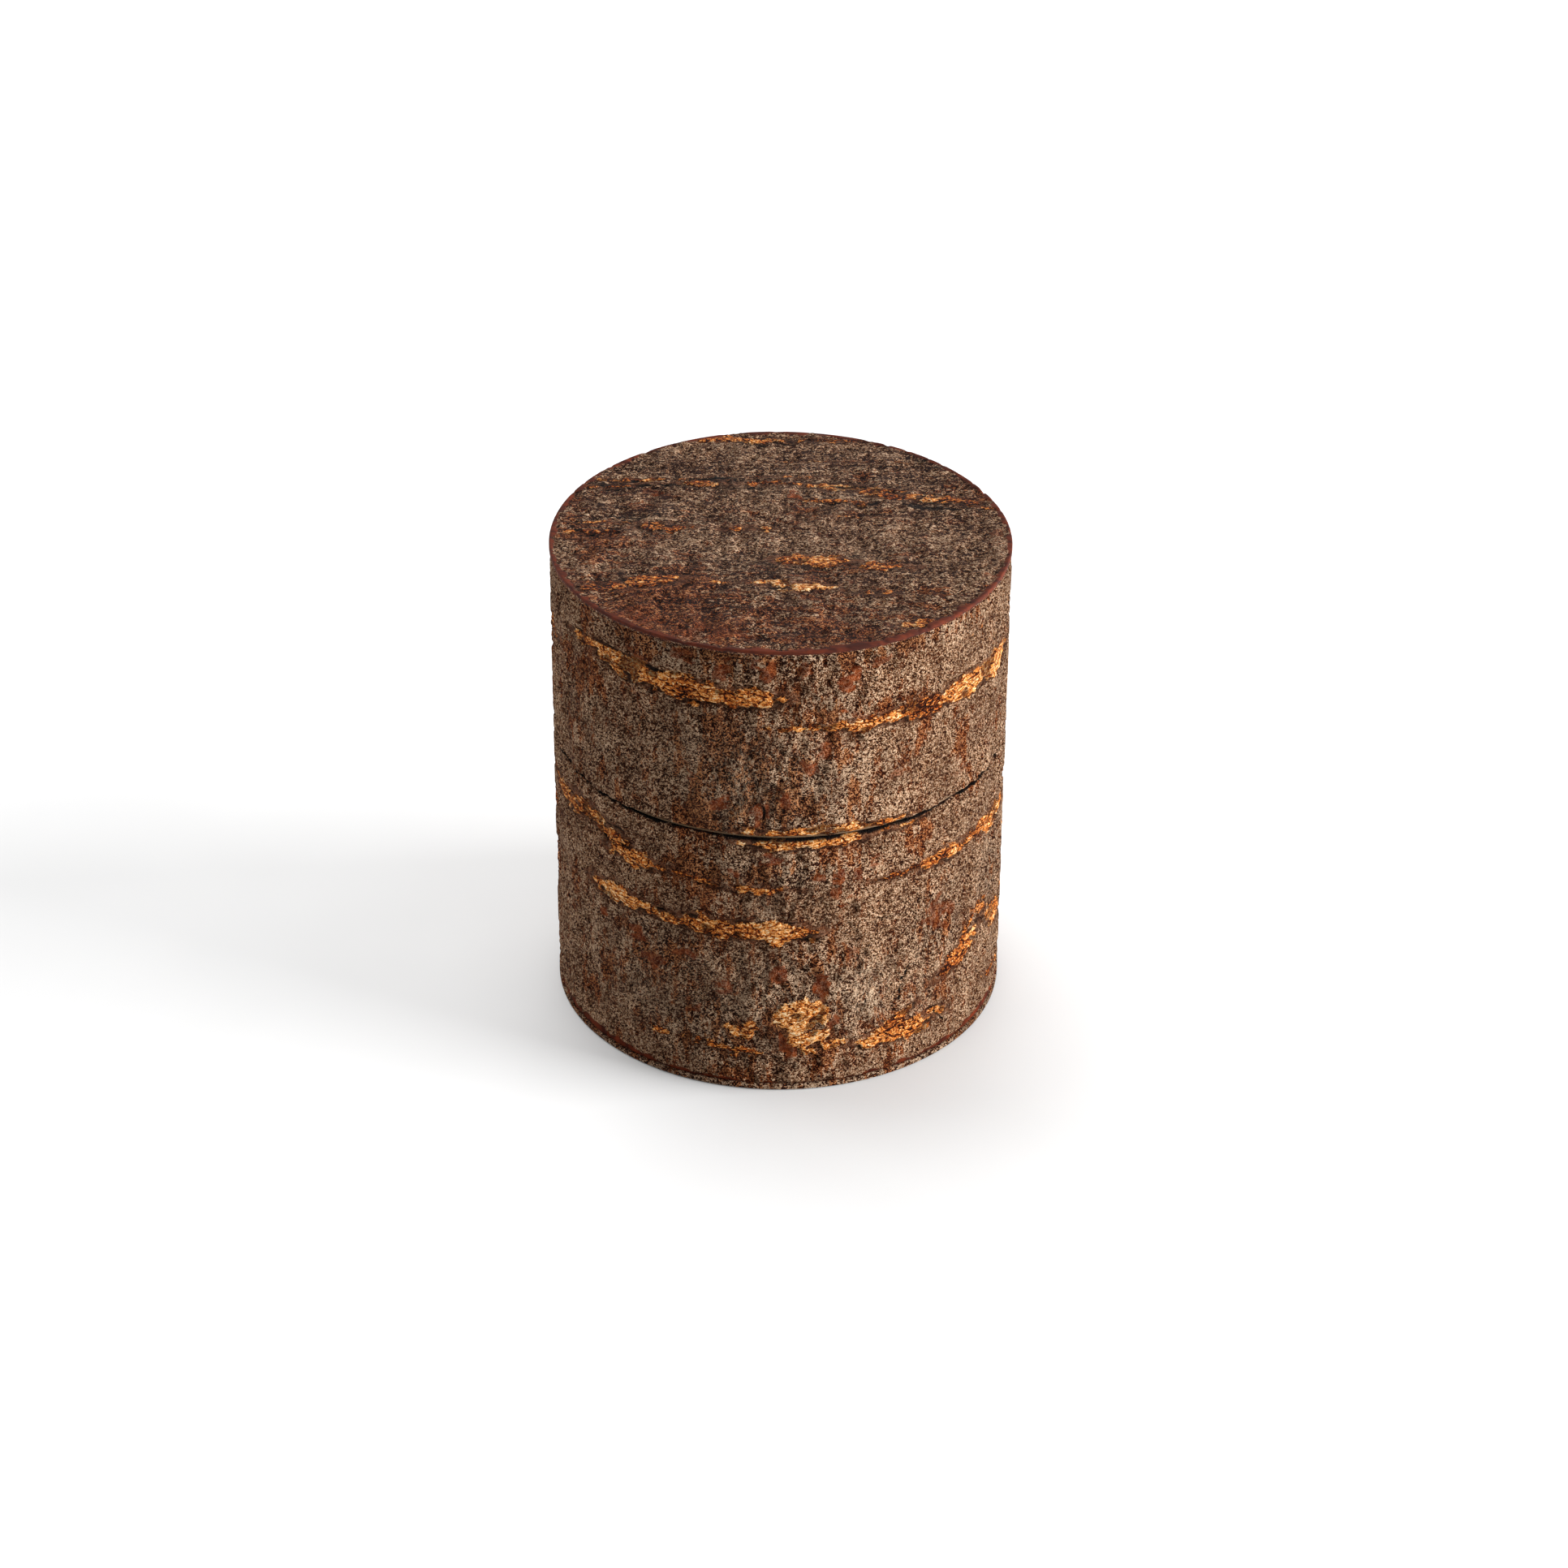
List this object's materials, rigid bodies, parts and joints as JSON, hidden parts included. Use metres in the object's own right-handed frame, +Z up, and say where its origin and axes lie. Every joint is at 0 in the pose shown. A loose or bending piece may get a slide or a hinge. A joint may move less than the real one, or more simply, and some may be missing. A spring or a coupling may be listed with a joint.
{
  "type": "tea caddy",
  "caption": "Low round caddy in rough cherry bark, with a lift-off lid over an inner neck and a loose inner lid with a knob.",
  "frame": {"origin": "centre of the base, on the surface the caddy stands on", "axes": "+Z up along the caddy's axis, -Y towards the front, +X to the right"},
  "size_m": [0.08, 0.08, 0.0885],
  "materials": {
    "rough_bark": "natural rough cherry bark, grey-brown and matt, with orange and cream lenticels",
    "smooth_bark": "scraped and polished cherry bark, dark red-brown and glossy",
    "veneer": "bare rolled wood veneer, satin",
    "board_wood": "bare turned wood, satin"
  },
  "bodies": {
    "caddy": {"base_bark": "smooth_bark", "base_board": "board_wood", "body_outer_bark": "rough_bark", "body_core_tube": "veneer", "neck_facing": "smooth_bark", "inner_tube_core": "veneer", "inner_tube_lining": "smooth_bark", "floor_bark": "smooth_bark"},
    "lid": {"lid_outer_bark": "rough_bark", "lid_core_tube": "veneer", "lid_lining": "smooth_bark", "lid_top_board": "board_wood", "lid_ceiling_bark": "smooth_bark", "lid_top_bark": "rough_bark"},
    "inner_lid": {"inner_lid_board": "board_wood", "inner_lid_top_bark": "smooth_bark", "inner_lid_underside_bark": "smooth_bark", "inner_lid_edge_band": "smooth_bark", "inner_lid_knob": "smooth_bark", "knob_peg": "veneer"}
  },
  "joints": [
    {"name": "lid_lift", "type": "slide", "parent": "caddy", "child": "lid", "axis": [0, 0, 1], "range_m": [0, 0.08]},
    {"name": "inner_lid_lift", "type": "slide", "parent": "caddy", "child": "inner_lid", "axis": [0, 0, 1], "range_m": [0, 0.032]}
  ],
  "couplings": [
    {"joint": "inner_lid_lift", "follows": "lid_lift", "ratio": 0.4}
  ]
}
